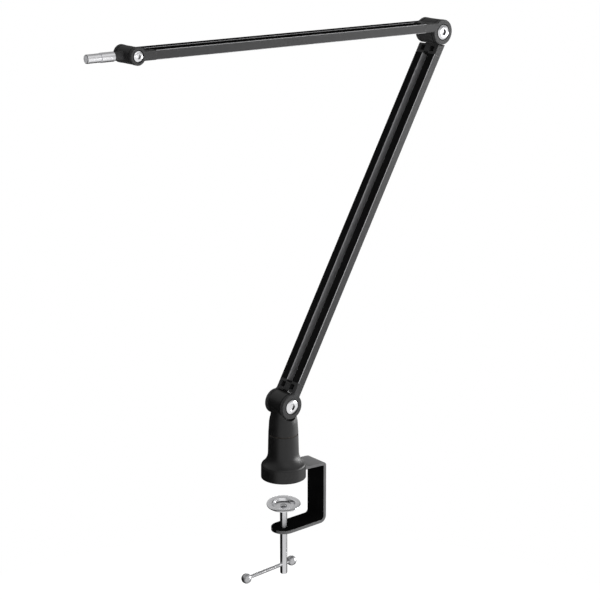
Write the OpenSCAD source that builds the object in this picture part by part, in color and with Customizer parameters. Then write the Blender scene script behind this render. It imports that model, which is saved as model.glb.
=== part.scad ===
// Desk boom arm for a microphone: a screw clamp, a swivelling base, two flat
// hollow arms joined by an elbow, and a tilting head with a plain stud.
// Millimetres. The origin is on the swivel axis, at the table plane that the
// base sits on. X runs from the axis to the back of the clamp, Z is up, and
// the three arm pivots lie along Y. The arms are modelled in one raised pose.

/* [Arm profile] */
// Width of both arm profiles, and of the joints across their pivots
arm_w = 29.6; // [27:0.2:36]
// Depth of both arm profiles, from the channel side to the back
arm_d = 9.4; // [8.4:0.2:11]
// Wall thickness of the two hollow rails
rail_wall = 1.2; // [0.8:0.1:1.6]
// Width of the open cable channel between the rails
channel_w = 7.8; // [6:0.2:9]
// Thickness of the strip behind the cable channel
channel_back = 1.6; // [1:0.1:2.5]
// Bevel along the outer edges of the profiles and their end fittings
edge_bevel = 0.5; // [0.2:0.1:0.8]

/* [Arm lengths and pose] */
// Lower arm, from base pivot to elbow, along its profile
lower_len = 435.8; // [300:0.2:600]
// Upper arm, from elbow to tip pivot, along its profile
upper_len = 402; // [280:0.2:560]
// Lean of the lower profile from upright, in degrees
lower_lean = 30.17; // [15:0.01:50]
// Rise of the upper profile above level, in degrees
upper_rise = 0.97; // [-10:0.01:20]
// How far the elbow axis lies in front of the lower arm's middle
elbow_front = 5.5; // [5.2:0.1:8]
// How far the elbow axis lies below the upper arm's middle
elbow_drop = 5.6; // [5:0.1:8]

/* [Joints] */
// Radius of the round eyes at the base pivot and the elbow
eye_r = 13.5; // [12:0.1:14]
// Radius of the round eyes at the tip
tip_eye_r = 8.7; // [7.6:0.1:9.2]
// Thickness of the fork cheeks
cheek_t = 4; // [3.4:0.1:4.6]
// Thickness of the friction washers
washer_t = 0.8; // [0.5:0.1:1.2]
// Radius of the hollow where a cheek's edge runs into its eye
eye_fillet = 3.8; // [1:0.1:5]
// The same at the tip
tip_eye_fillet = 1.4; // [0.6:0.1:2]
// How much smaller a barrel's radius is than the eyes beside it
barrel_step = 0.2; // [0.1:0.1:0.6]
// Gap between a barrel and the web of the fork round it
web_gap = 0.8; // [0.5:0.1:2]
// Width of the notch in the middle of a fork's web
notch_w = 10; // [6:0.5:12]
// Depth of that notch
notch_depth = 1.6; // [0.5:0.1:2]
// Width of the rim between a fork's web and its pockets
web_rim = 2.8; // [2.2:0.1:3.4]
// Gap between the base eyes and the saddle that they turn in
saddle_gap = 2.2; // [1:0.1:3]
// Gap between the elbow eyes and the end of the lower arm
elbow_gap = 1.3; // [1:0.1:4]
// Distance from a main pivot to the end of the profile
fork_reach = 25.7; // [24:0.1:30]
// Distance from the tip pivot to the end of the profile
tip_reach = 20.5; // [18:0.1:24]
// Width of the neck that carries the elbow barrel
neck_w = 10; // [8:0.5:12]
// How far that neck's front rises towards the barrel
neck_rise = 2.5; // [0:0.5:3]
// Length of the plugs that enter the hollow rails
plug_len = 14; // [10:1:20]
// Depth of the lightening pockets in the end fittings
pocket_depth = 5.5; // [3:0.5:6]

/* [Pivot screws] */
// Shank diameter at the base pivot and the elbow
screw_d = 8; // [6:1:8]
// Head diameter at the base pivot and the elbow
head_d = 16; // [14:0.5:17]
// Shank diameter at the tip
tip_screw_d = 6; // [5:1:6]
// Head diameter at the tip
tip_head_d = 10.5; // [10:0.5:11]
// Thickness of the screw heads
head_t = 3; // [2.6:0.1:3.4]
// Depth of the recess that a head sits in
recess_depth = 2; // [1.6:0.1:2.4]
// Gap round a head in its recess
recess_gap = 0.9; // [0.4:0.1:1]
// Hexagon socket across flats at the base pivot and the elbow
socket_af = 6; // [5:1:6]
// Hexagon socket across flats at the tip
tip_socket_af = 4; // [3:1:4]
// Hexagon nut across flats at the base pivot and the elbow
nut_af = 13; // [12:0.5:14]
// Hexagon nut across flats at the tip
tip_nut_af = 9; // [9:0.5:10]
// Thickness of the pivot nuts
nut_t = 3.2; // [2.8:0.2:4]
// Thickness of the spring washers under the nuts
spring_t = 0.8; // [0.6:0.1:1]

/* [Base] */
// Diameter of the base flange on the table
base_d = 48.8; // [44:0.2:56]
// Height of the straight rim of the flange
rim_h = 13.4; // [12:0.2:18]
// Radius of the column where it leaves the flare
column_r = 16.8; // [15.8:0.1:18]
// Height of the gap between the fixed base and the swivelling neck
swivel_h = 49.7; // [44:0.2:56]
// Radius of the column at that gap
swivel_r = 16.3; // [15.6:0.1:17]
// Height of the base pivot above the table
pivot_h = 83.4; // [80:0.2:100]
// Diameter of the swivel pin
swivel_pin_d = 10; // [9:0.5:11]
// Wall of the bush round the swivel pin
bush_wall = 2; // [1.5:0.5:2.5]
// Height of the ceiling of the nut chamber in the base
chamber_top = 24; // [22:0.5:28]
// Thickness of the foot plate under the base
foot_t = 6.1; // [4:0.1:7]

/* [Clamp] */
// Width of the clamp strip
strip_w = 27.4; // [24:0.2:30]
// Thickness of the clamp strip
strip_t = 3.6; // [2.8:0.1:4]
// Distance from the swivel axis to the inside of the upright strip
throat = 46.1; // [40:0.1:60]
// Fall of the strip from the base to its upper bend, in degrees
strip_fall = 3.7; // [0:0.1:6]
// Depth of the jaw's upper face below the table plane
jaw_drop = 58.9; // [50:0.1:80]
// Inside radius of the lower bend
jaw_bend = 4; // [2:0.5:6]
// Inside radius of the upper bend
top_bend = 0.9; // [0.5:0.1:3]
// Depth of the pressure plate's rim below the table plane
plate_drop = 31.5; // [25:0.1:36]
// Lean of the pressure plate, which sits loose on its rivet, in degrees
plate_lean = 6; // [0:0.5:7]
// Direction in which it leans, in degrees about the spindle from the upright
plate_lean_to = 230; // [0:5:355]
// Diameter of the pressure plate
plate_d = 37.2; // [30:0.2:42]
// Diameter of the dish in the pressure plate
dish_d = 26.2; // [20:0.2:28]
// Depth of the dish
dish_depth = 3.4; // [2:0.2:4.4]
// Sheet thickness of the pressure plate
plate_t = 1.5; // [1:0.1:2]
// Diameter of the clamp spindle
spindle_d = 8; // [7:0.5:9]
// Depth of the spindle's lower end below the table plane
spindle_drop = 114.4; // [110:0.2:140]
// Depth where the spindle's thread ends
thread_drop = 95.7; // [92:0.1:97]
// Depth of the handle bar below the table plane
bar_drop = 103.4; // [101:0.2:108]
// Diameter of the handle bar
bar_d = 4; // [3:0.5:5]
// Diameter of the balls on the handle bar
ball_d = 11.1; // [9:0.1:13]
// Reach of the long side of the handle bar
bar_long = 55.1; // [40:0.1:70]
// Reach of the short side of the handle bar
bar_short = 11.7; // [11.4:0.1:13]
// Direction of the handle bar, in degrees about the spindle from the upright
bar_turn = 3.1; // [-45:0.1:45]

/* [Head] */
// Direction of the stud above level, in degrees
stud_rise = 0.7; // [-10:0.1:10]
// Radius of the boss that carries the stud
boss_r = 4.2; // [3.8:0.1:4.6]
// Distance from the tip pivot to the shoulder of the stud
boss_reach = 18.5; // [16:0.5:22]
// Diameter of the stud where the microphone clip grips it
stud_d = 9.5; // [9:0.1:10]
// Diameter of the stud's thinner end
stud_end_d = 8.7; // [7:0.1:9]
// Length of the thick part of the stud
stud_len = 15.1; // [12:0.1:20]
// Length of the thin part of the stud
stud_end_len = 15.5; // [10:0.1:20]

/* [Hidden] */

// Fineness of round shapes
$fn = 96;
// Small length that lets cutting shapes pass the faces they cut
cut = 1;
// Gap of pieces that are fixed together
seat_gap = 0.05;
// Gap of pieces that turn or slide in each other
run_gap = 0.05;
// Gap of a barrel's end faces in its fork
side_gap = 0.1;
// Bevel on small turned parts
small_bevel = 0.4;

half_w = arm_w / 2;
half_d = arm_d / 2;
cheek_in = half_w - cheek_t;
barrel_half = cheek_in - washer_t - side_gap;
barrel_r = eye_r - barrel_step;
tip_barrel_r = tip_eye_r - barrel_step;
rail_in = channel_w / 2;
rail_inner_w = half_w - rail_in - 2 * rail_wall;
rail_mid = (half_w + rail_in) / 2;
rail_inner_d = arm_d - 2 * rail_wall;

// Plain screws that hold the fittings in the rails, one on each rail
fix_d = 3;
fix_head_d = 5.5;
fix_head_t = 1.7;
fix_in = plug_len / 2;
fix_socket_af = 2;
fix_socket_depth = 1.1;

// Width of the rim between the arched end and its pockets, and the neck's hold on both sides
arch_rim = 2;
neck_root = 1;
// Margin of the pockets in an end fitting to its cheeks and to its end
pocket_side = 0.6;
pocket_end = 2.8;
// Length of the sloped mouth where the cable channel leaves the profile
mouth_len = 2.2;

// Depth of the sockets in the pivot screws, and how far their ends pass the nuts
socket_depth = 2.2;
screw_end = 0.4;
// How far the spring washers pass the nuts' flats, and the friction washers stay inside the eyes
spring_rim = 0.6;
washer_step = 0.5;

// Screws with sunk heads under the foot plate
foot_screw_d = 4;
foot_head_d = 8;
foot_head_t = 2.2;
foot_screw_len = 14;
foot_socket_depth = 1.4;
foot_screw_end_gap = 0.5;
foot_screw_at = [[-13, 7], [-13, -7], [17, 7], [17, -7]];
foot_socket_af = 2.5;

// The neck of the swivel, from the gap to the barrel
neck_low = swivel_h + 0.4;
housing_top = swivel_h - 0.4;
pin_top = 66;
pin_thread_d = 8;
swivel_spring_t = 1.8;
swivel_spring_d = 15;
swivel_nut_t = 6.5;
pin_end = 1;
chamber_r = 8.6;
flange_r = swivel_r - 0.8;

// Steps of the neck's outline: how far below the pivot, and how far inside the column
neck_steps = [[25.6, 0.5], [19.4, 0.9], [15.6, 1.6], [12, 2.5]];
neck_shoulder = 8.2;
neck_end = 4;

// The flare between the rim and the column
flare_r = 17;
rim_round = 3;
rim_step = 0.4;
rim_draft = 0.1;
plate_pocket_top = foot_t + strip_t + 2 * seat_gap;
plate_end = 18;
foot_margin = 1.8;
foot_r = base_d / 2 - foot_margin;
tongue_gap = 0.2;

// The clamp spindle's head that is riveted over in the pressure plate
rivet_neck_r = 2.6;
rivet_head_r = 3.4;
rivet_head_t = 1.2;
rivet_edge_t = 0.5;
plate_play = seat_gap + spindle_d / 2 * tan(plate_lean);
plate_floor = -plate_drop - dish_depth;
spindle_top = plate_floor - plate_t - plate_play;
dish_slope = 2.2;
spindle_bevel = 0.8;
plain_step = 0.1;
// Gap of the handle bar in the bores of its balls
ball_gap = 0.12;

// The stud's tail in its boss
stud_tail_r = 2.5;
tail_gap = 1.5;
tail_margin = 0.5;

// Places of the pivots in the arms' plane
base_pivot = [0, 0, pivot_h];
lower_dir = [sin(lower_lean), 0, cos(lower_lean)];
lower_front = [-cos(lower_lean), 0, sin(lower_lean)];
elbow = base_pivot + lower_len * lower_dir + elbow_front * lower_front;
upper_dir = [-cos(upper_rise), 0, sin(upper_rise)];
upper_top = [sin(upper_rise), 0, cos(upper_rise)];
tip = elbow + upper_len * upper_dir + elbow_drop * upper_top;

black = "#26272a";
grey_edge = "#4a4b4d";
satin = "#8f9194";
chrome = "#c9ccd0";
dark_steel = "#3a3b3e";
fibre = "#55504a";
bronze = "#9a7b4f";

// Frames: X along the arm, Y along the pivots, Z towards the channel side

// Lower arm, from the base pivot
module at_lower() {
    translate(base_pivot) rotate([0, lower_lean - 90, 0]) children();
}

// Elbow end of the lower arm, with X pointing back down the arm
module at_lower_top() {
    at_lower() translate([lower_len, 0, elbow_front]) mirror([1, 0, 0]) children();
}

// Upper arm, from the elbow
module at_upper() {
    translate(elbow) rotate([0, 180 + upper_rise, 0]) mirror([0, 0, 1]) children();
}

// Tip end of the upper arm, with X pointing back towards the elbow
module at_tip_fork() {
    at_upper() translate([upper_len, 0, elbow_drop]) mirror([1, 0, 0]) children();
}

// Tilting head, with X along the stud
module at_head() {
    translate(tip) rotate([0, 180 + stud_rise, 0]) mirror([0, 0, 1]) children();
}

// A round bar along Y from y0 to y1
module y_bar(r, y0, y1) {
    translate([0, y0, 0]) rotate([-90, 0, 0]) cylinder(r = r, h = y1 - y0);
}

// A round bar along X from x0 to x1
module x_bar(r, x0, x1) {
    translate([x0, 0, 0]) rotate([0, 90, 0]) cylinder(r = r, h = x1 - x0);
}

// A hexagonal bar along Y from y0 to y1, with a corner towards X
module y_hex(af, y0, y1) {
    translate([0, y0, 0]) rotate([-90, 0, 0]) cylinder(r = af / sqrt(3), h = y1 - y0, $fn = 6);
}

// A box by its two corners
module box(low, high) {
    translate(low) cube(high - low);
}

// Outline of a profile across the arm, in Y and Z, with bevelled corners
module profile_outline(half_width, half_depth, bevel) {
    polygon([
        [-half_width, -half_depth + bevel], [-half_width + bevel, -half_depth],
        [half_width - bevel, -half_depth], [half_width, -half_depth + bevel],
        [half_width, half_depth - bevel], [half_width - bevel, half_depth],
        [-half_width + bevel, half_depth], [-half_width, half_depth - bevel]
    ]);
}

// A bar of that outline along X
module profile_bar(x0, x1) {
    translate([x0, 0, 0]) rotate([90, 0, 90]) linear_extrude(x1 - x0)
        profile_outline(half_w, half_d, edge_bevel);
}

// The open cable channel, with bevelled lips, along X
module channel(x0, x1) {
    lip = edge_bevel;
    translate([x0, 0, 0]) rotate([90, 0, 90]) linear_extrude(x1 - x0) polygon([
        [-rail_in, channel_back - half_d], [rail_in, channel_back - half_d],
        [rail_in, half_d - lip], [rail_in + lip + cut, half_d + cut],
        [-rail_in - lip - cut, half_d + cut], [-rail_in, half_d - lip]
    ]);
}

// The hollow inside of one rail or the plug that fills it, along X
module rail_core(side, x0, x1, gap) {
    w = rail_inner_w - 2 * gap;
    d = rail_inner_d - 2 * gap;
    translate([x0, side * rail_mid - w / 2, -d / 2]) cube([x1 - x0, w, d]);
}

// Hollow double profile along X, drilled for the fitting screws at both ends
module arm_profile(x0, x1) {
    difference() {
        profile_bar(x0, x1);
        channel(x0 - cut, x1 + cut);
        for (side = [-1, 1]) rail_core(side, x0 - cut, x1 + cut, 0);
        for (side = [-1, 1], x = [x0 + fix_in, x1 - fix_in])
            translate([x, side * rail_mid, 0]) fix_screw_space();
    }
}

// Clearance for one fitting screw, driven from the back of the arm
module fix_screw_space() {
    translate([0, 0, -half_d - cut]) {
        cylinder(d = fix_d + 2 * seat_gap, h = cut + half_d + seat_gap);
        cylinder(d = fix_head_d + 2 * seat_gap, h = cut + fix_head_t + seat_gap);
    }
}

// One fitting screw with its low round head sunk in the back of the arm
module fix_screw() {
    translate([0, 0, -half_d]) difference() {
        union() {
            cylinder(d = fix_head_d, h = fix_head_t);
            cylinder(d = fix_d, h = half_d);
        }
        translate([0, 0, -cut]) cylinder(r = fix_socket_af / sqrt(3), h = cut + fix_socket_depth, $fn = 6);
    }
}

// The four fitting screws of one arm
module fix_screws(x0, x1) {
    for (side = [-1, 1], x = [x0 + fix_in, x1 - fix_in])
        translate([x, side * rail_mid, 0]) fix_screw();
}

// The solid end of a fitting: its body, its plugs, pockets and channel mouth
module fitting_body(x0, reach, offset, pocket_from) {
    pocket_in = rail_in;
    pocket_out = cheek_in - pocket_side;
    translate([0, 0, offset]) difference() {
        union() {
            profile_bar(x0, reach);
            for (side = [-1, 1]) rail_core(side, reach, reach + plug_len, seat_gap);
        }
        channel(reach - mouth_len, reach + cut);
        for (side = [-1, 1]) {
            y_low = side > 0 ? pocket_in : -pocket_out;
            box([pocket_from, y_low, half_d - pocket_depth],
                [reach - pocket_end, y_low + pocket_out - pocket_in, half_d + cut]);
            translate([reach + fix_in, side * rail_mid, 0]) fix_screw_space();
        }
    }
}

// The round eye of one fork cheek, bevelled on its outer side
module eye(side, r) {
    y0 = side > 0 ? cheek_in : -half_w;
    b = edge_bevel;
    y_bar(r - b, y0, y0 + cheek_t);
    y_bar(r, side > 0 ? y0 : y0 + b, side > 0 ? y0 + cheek_t - b : y0 + cheek_t);
}

// The hollow between an eye and the channel-side edge of its cheek
module eye_hollow(side, r, edge, fillet_r) {
    x = sqrt(pow(r + fillet_r, 2) - pow(edge + fillet_r, 2));
    y0 = side > 0 ? cheek_in : -half_w + edge_bevel;
    t = cheek_t - edge_bevel;
    translate([0, y0 + t, 0]) rotate([90, 0, 0]) linear_extrude(t) difference() {
        polygon([[0, 0], [x, edge], [x, edge + fillet_r]]);
        translate([x, edge + fillet_r]) circle(fillet_r);
    }
}

// A fork: two cheeks with eyes round a barrel, and a body that enters the arm
module fork(r, reach, offset, fillet_r, shank_d, cap_d) {
    web_r = r - barrel_step + web_gap;
    difference() {
        union() {
            for (side = [-1, 1]) eye(side, r);
            for (side = [-1, 1]) eye_hollow(side, r, offset + half_d, fillet_r);
            fitting_body(0, reach, offset, web_r + web_rim);
        }
        y_bar(web_r, -cheek_in, cheek_in);
        y_bar(web_r + notch_depth, -notch_w / 2, notch_w / 2);
        box([-r - cut, -cheek_in, -2 * r], [0, cheek_in, 2 * r]);
        y_bar(shank_d / 2 + seat_gap, -half_w - cut, half_w + cut);
        y_bar(cap_d / 2 + recess_gap, -half_w - cut, -half_w + recess_depth);
        y_bar(cap_d / 2 + recess_gap, half_w - recess_depth, half_w + cut);
    }
}

// A pivot screw with its head on the near side and its end in the far nut
module pivot_screw(shank_d, cap_d, af) {
    head_y = recess_depth - half_w;
    end_y = half_w - recess_depth + spring_t + nut_t + screw_end;
    b = small_bevel;
    difference() {
        union() {
            y_bar(cap_d / 2, head_y - head_t + b, head_y);
            y_bar(cap_d / 2 - b, head_y - head_t, head_y);
            y_bar(shank_d / 2, head_y, end_y);
        }
        y_hex(af, head_y - head_t - cut, head_y - head_t + socket_depth);
    }
}

// The spring washer on the far side of a pivot
module pivot_spring_washer(shank_d, af) {
    y0 = half_w - recess_depth;
    difference() {
        y_bar(af / 2 + spring_rim, y0, y0 + spring_t);
        y_bar(shank_d / 2 + seat_gap, y0 - cut, y0 + spring_t + cut);
    }
}

// The nut on the far side of a pivot
module pivot_nut(shank_d, af) {
    y0 = half_w - recess_depth + spring_t;
    difference() {
        y_hex(af, y0, y0 + nut_t);
        y_bar(shank_d / 2 + seat_gap, y0 - cut, y0 + nut_t + cut);
    }
}

// The two friction washers inside a fork
module friction_washers(r, shank_d) {
    for (side = [-1, 1]) {
        y0 = side > 0 ? cheek_in - washer_t : -cheek_in;
        difference() {
            y_bar(r - washer_step, y0, y0 + washer_t);
            y_bar(shank_d / 2 + seat_gap, y0 - cut, y0 + washer_t + cut);
        }
    }
}

// Points of a circular arc in steps, with angles in degrees
function arc(centre, r, from, to, steps) = [
    for (i = [0:steps]) let (a = from + (to - from) * i / steps) centre + r * [cos(a), sin(a)]
];

// Column outline of the fixed base, from the table plane to the swivel gap
module base_outline() {
    rim_r = base_d / 2;
    round_c = [rim_r - rim_step - rim_round, rim_h];
    join = 360 - acos((round_c[0] - column_r - flare_r) / (flare_r + rim_round));
    low = round_c - (flare_r + rim_round) * [cos(join), sin(join)];
    polygon(concat(
        [[0, 0], [rim_r, 0], [rim_r - rim_draft, rim_h - rim_step / 2], [rim_r - rim_step, rim_h]],
        arc(round_c, rim_round, 8, join - 180, 8),
        arc(low, flare_r, join, 180, 14),
        [[swivel_r, housing_top - small_bevel], [swivel_r - small_bevel, housing_top], [0, housing_top]]
    ));
}

module base_housing() {
    color(black) difference() {
        rotate_extrude() base_outline();
        // Pocket for the foot plate, and its open side at the back
        translate([0, 0, -cut]) cylinder(r = foot_r + seat_gap, h = foot_t + seat_gap + cut);
        box([0, -strip_w / 2 - seat_gap, -cut],
            [base_d, strip_w / 2 + seat_gap, plate_pocket_top]);
        // Pocket for the end of the clamp strip
        box([-plate_end - seat_gap, -strip_w / 2 - seat_gap, foot_t - cut],
            [base_d / 2, strip_w / 2 + seat_gap, plate_pocket_top]);
        // Chamber for the swivel nut, and the bush bore above it
        cylinder(r = chamber_r, h = chamber_top);
        cylinder(d = swivel_pin_d + 2 * (run_gap + bush_wall + seat_gap), h = housing_top + cut);
        for (at = foot_screw_at) translate([at[0], at[1], 0])
            cylinder(d = foot_screw_d + 2 * seat_gap, h = foot_screw_len + foot_screw_end_gap);
    }
}

// Round plate in the base, with a tongue that closes the strip's slot
module base_foot_plate() {
    color(dark_steel) difference() {
        union() {
            cylinder(r = foot_r, h = foot_t);
            intersection() {
                cylinder(d = base_d - 2 * tongue_gap, h = foot_t);
                box([0, -strip_w / 2, 0], [base_d, strip_w / 2, foot_t]);
            }
        }
        for (at = foot_screw_at) translate([at[0], at[1], 0]) {
            translate([0, 0, -cut]) cylinder(d = foot_screw_d + 2 * seat_gap, h = foot_t + 2 * cut);
            translate([0, 0, -cut]) cylinder(d = foot_head_d + 2 * seat_gap, h = foot_head_t + seat_gap + cut);
        }
    }
}

module foot_screws() {
    color(satin) for (at = foot_screw_at) translate([at[0], at[1], 0]) difference() {
        union() {
            translate([0, 0, seat_gap]) cylinder(d = foot_head_d, h = foot_head_t);
            translate([0, 0, seat_gap]) cylinder(d = foot_screw_d, h = foot_screw_len);
        }
        translate([0, 0, -cut]) cylinder(r = foot_socket_af / sqrt(3), h = cut + foot_socket_depth, $fn = 6);
    }
}

// Flanged plain bearing: its flange carries the neck
module swivel_bush() {
    inner = swivel_pin_d / 2 + run_gap;
    color(bronze) difference() {
        union() {
            translate([0, 0, chamber_top]) cylinder(r = inner + bush_wall, h = housing_top - chamber_top);
            translate([0, 0, housing_top]) cylinder(r = flange_r, h = neck_low - housing_top - side_gap);
        }
        translate([0, 0, chamber_top - cut]) cylinder(r = inner, h = neck_low - chamber_top + cut);
    }
}

// Neck outline from the swivel gap up into the barrel
module neck_outline() {
    polygon(concat(
        [[0, neck_low], [swivel_r - small_bevel, neck_low], [swivel_r, neck_low + small_bevel]],
        [for (step = neck_steps) [swivel_r - step[1], pivot_h - step[0]]],
        [[barrel_r, pivot_h - neck_shoulder], [barrel_r, pivot_h - neck_end], [0, pivot_h - neck_end]]
    ));
}

module swivel_neck() {
    saddle_r = eye_r + saddle_gap;
    color(black) difference() {
        union() {
            difference() {
                rotate_extrude() neck_outline();
                for (side = [-1, 1]) translate(base_pivot)
                    y_bar(saddle_r, side > 0 ? barrel_half : -base_d, side > 0 ? base_d : -barrel_half);
            }
            translate(base_pivot) barrel(barrel_r);
        }
        translate([0, 0, neck_low - cut]) cylinder(d = swivel_pin_d + 2 * seat_gap, h = pin_top - neck_low + cut);
        translate(base_pivot) y_bar(screw_d / 2 + run_gap, -base_d, base_d);
    }
}

// A barrel along Y with bevelled ends
module barrel(r) {
    y_bar(r, -barrel_half + small_bevel, barrel_half - small_bevel);
    y_bar(r - small_bevel, -barrel_half, barrel_half);
}

module swivel_pin() {
    low = chamber_top - side_gap;
    color(satin) union() {
        translate([0, 0, low]) cylinder(d = swivel_pin_d, h = pin_top - low);
        translate([0, 0, low - swivel_spring_t - swivel_nut_t - pin_end])
            cylinder(d = pin_thread_d, h = swivel_spring_t + swivel_nut_t + pin_end + cut);
    }
}

module swivel_spring_washer() {
    low = chamber_top - side_gap - swivel_spring_t;
    color(satin) translate([0, 0, low]) difference() {
        cylinder(d = swivel_spring_d, h = swivel_spring_t);
        translate([0, 0, -cut]) cylinder(d = pin_thread_d + 2 * seat_gap, h = swivel_spring_t + 2 * cut);
    }
}

module swivel_nut() {
    low = chamber_top - side_gap - swivel_spring_t - swivel_nut_t;
    color(satin) translate([0, 0, low]) difference() {
        cylinder(r = nut_af / sqrt(3), h = swivel_nut_t, $fn = 6);
        translate([0, 0, -cut]) cylinder(d = pin_thread_d + 2 * seat_gap, h = swivel_nut_t + 2 * cut);
    }
}

module lower_arm_profile() {
    color(grey_edge) at_lower() arm_profile(fork_reach, lower_len - fork_reach);
}

module base_pivot_fork() {
    color(black) at_lower() fork(eye_r, fork_reach, 0, eye_fillet, screw_d, head_d);
}

// Upper end of the lower arm: an arched end, a neck and the elbow barrel
module elbow_barrel_fitting() {
    arch_r = eye_r + elbow_gap;
    back = -elbow_front - half_d + edge_bevel;
    front = -elbow_front + half_d - edge_bevel;
    color(black) at_lower_top() difference() {
        union() {
            difference() {
                fitting_body(0, fork_reach, -elbow_front, arch_r + arch_rim);
                y_bar(arch_r, -half_w - cut, half_w + cut);
            }
            translate([0, neck_w / 2, 0]) rotate([90, 0, 0]) linear_extrude(neck_w) polygon([
                [0, back], [arch_r + neck_root, back], [arch_r + neck_root, front], [arch_r, front],
                [barrel_r - neck_root, front + neck_rise], [0, front + neck_rise]
            ]);
            barrel(barrel_r);
        }
        y_bar(screw_d / 2 + run_gap, -half_w - cut, half_w + cut);
    }
}

module lower_fitting_screws() {
    color(satin) at_lower() fix_screws(fork_reach, lower_len - fork_reach);
}

module base_pivot_screw() {
    color(chrome) translate(base_pivot) pivot_screw(screw_d, head_d, socket_af);
}

module base_pivot_spring_washer() {
    color(satin) translate(base_pivot) pivot_spring_washer(screw_d, nut_af);
}

module base_pivot_nut() {
    color(satin) translate(base_pivot) pivot_nut(screw_d, nut_af);
}

module base_pivot_friction_washers() {
    color(fibre) translate(base_pivot) friction_washers(barrel_r, screw_d);
}

module upper_arm_profile() {
    color(grey_edge) at_upper() translate([0, 0, elbow_drop]) arm_profile(fork_reach, upper_len - tip_reach);
}

module elbow_fork() {
    color(black) at_upper() fork(eye_r, fork_reach, elbow_drop, eye_fillet, screw_d, head_d);
}

module tip_fork() {
    color(black) at_tip_fork() fork(tip_eye_r, tip_reach, 0, tip_eye_fillet, tip_screw_d, tip_head_d);
}

module upper_fitting_screws() {
    color(satin) at_upper() translate([0, 0, elbow_drop]) fix_screws(fork_reach, upper_len - tip_reach);
}

module elbow_screw() {
    color(chrome) at_upper() pivot_screw(screw_d, head_d, socket_af);
}

module elbow_spring_washer() {
    color(satin) at_upper() pivot_spring_washer(screw_d, nut_af);
}

module elbow_nut() {
    color(satin) at_upper() pivot_nut(screw_d, nut_af);
}

module elbow_friction_washers() {
    color(fibre) at_upper() friction_washers(barrel_r, screw_d);
}

module tip_screw() {
    color(chrome) translate(tip) pivot_screw(tip_screw_d, tip_head_d, tip_socket_af);
}

module tip_spring_washer() {
    color(satin) translate(tip) pivot_spring_washer(tip_screw_d, tip_nut_af);
}

module tip_nut() {
    color(satin) translate(tip) pivot_nut(tip_screw_d, tip_nut_af);
}

module tip_friction_washers() {
    color(fibre) translate(tip) friction_washers(tip_barrel_r, tip_screw_d);
}

// The tilting head: a barrel across the fork and a boss for the stud
module tip_barrel() {
    color(black) at_head() difference() {
        union() {
            barrel(tip_barrel_r);
            x_bar(boss_r, 0, boss_reach);
        }
        y_bar(tip_screw_d / 2 + run_gap, -half_w, half_w);
        x_bar(stud_tail_r + seat_gap, tip_screw_d / 2 + tail_gap, boss_reach + cut);
    }
}

module mic_stud() {
    r = stud_d / 2;
    x0 = boss_reach;
    x1 = x0 + stud_len;
    x2 = x1 + stud_end_len;
    b = small_bevel;
    color(satin) at_head() union() {
        x_bar(stud_tail_r, tip_screw_d / 2 + tail_gap + tail_margin, x0 + cut);
        rotate([0, 90, 0]) rotate_extrude() polygon([
            [0, x0], [r - b, x0], [r, x0 + b], [r, x1 - b], [r - b, x1], [stud_end_d / 2, x1],
            [stud_end_d / 2, x2 - b], [stud_end_d / 2 - b, x2], [0, x2]
        ]);
    }
}

// Bent strip: flat in the base, then falling to an upright and a jaw with a round end
module clamp_bracket() {
    y = strip_w / 2;
    top_low = foot_t + seat_gap;
    top_high = top_low + strip_t;
    jaw_low = -jaw_drop - strip_t;
    outer = throat + strip_t;
    top_turn = top_bend + strip_t;
    jaw_turn = jaw_bend + strip_t;
    knee = base_d / 2;
    knee_in = knee - strip_t * tan(strip_fall / 2);
    bend_x = outer - top_turn;
    bend_z = top_high - (bend_x - knee) * tan(strip_fall) - top_turn / cos(strip_fall);
    jaw_centre = [outer - jaw_turn, jaw_low + jaw_turn];
    color(black) difference() {
        union() {
            translate([0, y, 0]) rotate([90, 0, 0]) linear_extrude(strip_w) polygon(concat(
                [[-plate_end, top_low], [-plate_end, top_high], [knee, top_high]],
                arc([bend_x, bend_z], top_turn, 90 - strip_fall, 0, 12),
                arc(jaw_centre, jaw_turn, 0, -90, 16),
                [[0, jaw_low], [0, -jaw_drop]],
                arc(jaw_centre, jaw_bend, -90, 0, 12),
                arc([bend_x, bend_z], top_bend, 0, 90 - strip_fall, 8),
                [[knee_in, top_low]]
            ));
            translate([0, 0, jaw_low]) cylinder(r = y, h = strip_t);
        }
        translate([0, 0, jaw_low - cut]) cylinder(d = spindle_d + 2 * run_gap, h = strip_t + 2 * cut);
        for (at = foot_screw_at) translate([at[0], at[1], top_low - cut])
            cylinder(d = foot_screw_d + 2 * seat_gap, h = strip_t + 2 * cut);
    }
}

// The pressure plate's place: leaning about the middle of its floor, with Z from its rim
module at_plate() {
    translate([0, 0, plate_floor - plate_t / 2])
        rotate([0, 0, plate_lean_to]) rotate([0, plate_lean, 0]) rotate([0, 0, -plate_lean_to])
        translate([0, 0, dish_depth + plate_t / 2]) children();
}

// Dished steel disc that presses on the underside of the table
module pressure_plate() {
    rim = plate_d / 2;
    dish = dish_d / 2;
    floor_r = dish - dish_slope;
    lip = plate_t / 3;
    edge_r = plate_t / 2;
    under = -dish_depth - plate_t;
    color(chrome) at_plate() difference() {
        rotate_extrude() polygon(concat(
            [[0, -dish_depth], [floor_r, -dish_depth], [dish - lip, -lip], [dish, 0]],
            arc([rim - edge_r, -edge_r], edge_r, 90, -90, 8),
            [[dish + plate_t, -plate_t], [floor_r + plate_t, under + lip], [floor_r, under], [0, under]]
        ));
        translate([0, 0, under - cut])
            cylinder(r = rivet_neck_r + run_gap + plate_t * tan(plate_lean), h = plate_t + 2 * cut);
    }
}

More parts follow.
